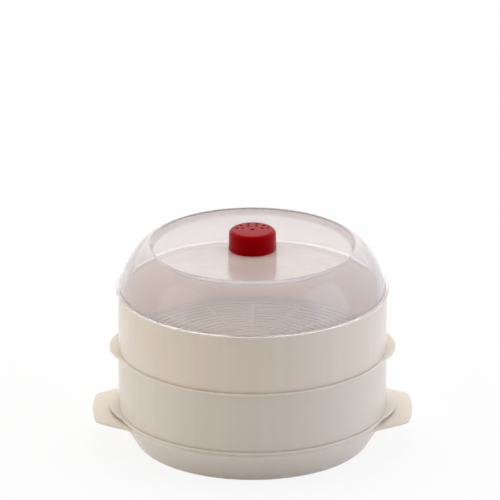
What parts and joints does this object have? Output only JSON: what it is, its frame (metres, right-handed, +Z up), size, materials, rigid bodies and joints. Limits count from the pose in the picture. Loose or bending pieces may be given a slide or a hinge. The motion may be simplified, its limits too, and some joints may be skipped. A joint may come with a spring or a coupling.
{
  "type": "food steamer",
  "caption": "Stacking microwave food steamer: round water tray with side handles, slotted tiers, domed frosted lid and a turning vent knob.",
  "frame": {"origin": "centre of the water tray's underside, on the plane it stands on", "axes": "+Z up along the axis of the stack, +X along the tray's handles, -Y towards the viewer of the picture"},
  "size_m": [0.2868, 0.244, 0.2007],
  "materials": {
    "cream_plastic": "semi-gloss moulded",
    "grid_plastic": "semi-gloss moulded",
    "frosted_plastic": "frosted translucent",
    "red_plastic": "high gloss"
  },
  "bodies": {
    "tray": {"base_tray": "cream_plastic"},
    "lower": {"lower_tier": "cream_plastic", "lower_grid": "grid_plastic"},
    "upper": {"upper_tier": "cream_plastic", "upper_grid": "grid_plastic"},
    "cover": {"lid": "frosted_plastic"},
    "knob": {"vent_knob": "red_plastic"}
  },
  "joints": [
    {"name": "lower_lift", "type": "slide", "parent": "tray", "child": "lower", "axis": [0, 0, 1], "range_m": [0, 0.056]},
    {"name": "upper_lift", "type": "slide", "parent": "lower", "child": "upper", "axis": [0, 0, 1], "range_m": [0, 0.058]},
    {"name": "lid_lift", "type": "slide", "parent": "upper", "child": "cover", "axis": [0, 0, 1], "range_m": [0, 0.064]},
    {"name": "knob_turn", "type": "hinge", "parent": "cover", "child": "knob", "pos_m": [0, 0, 0.1824], "axis": [0, 0, 1], "continuous": true}
  ]
}
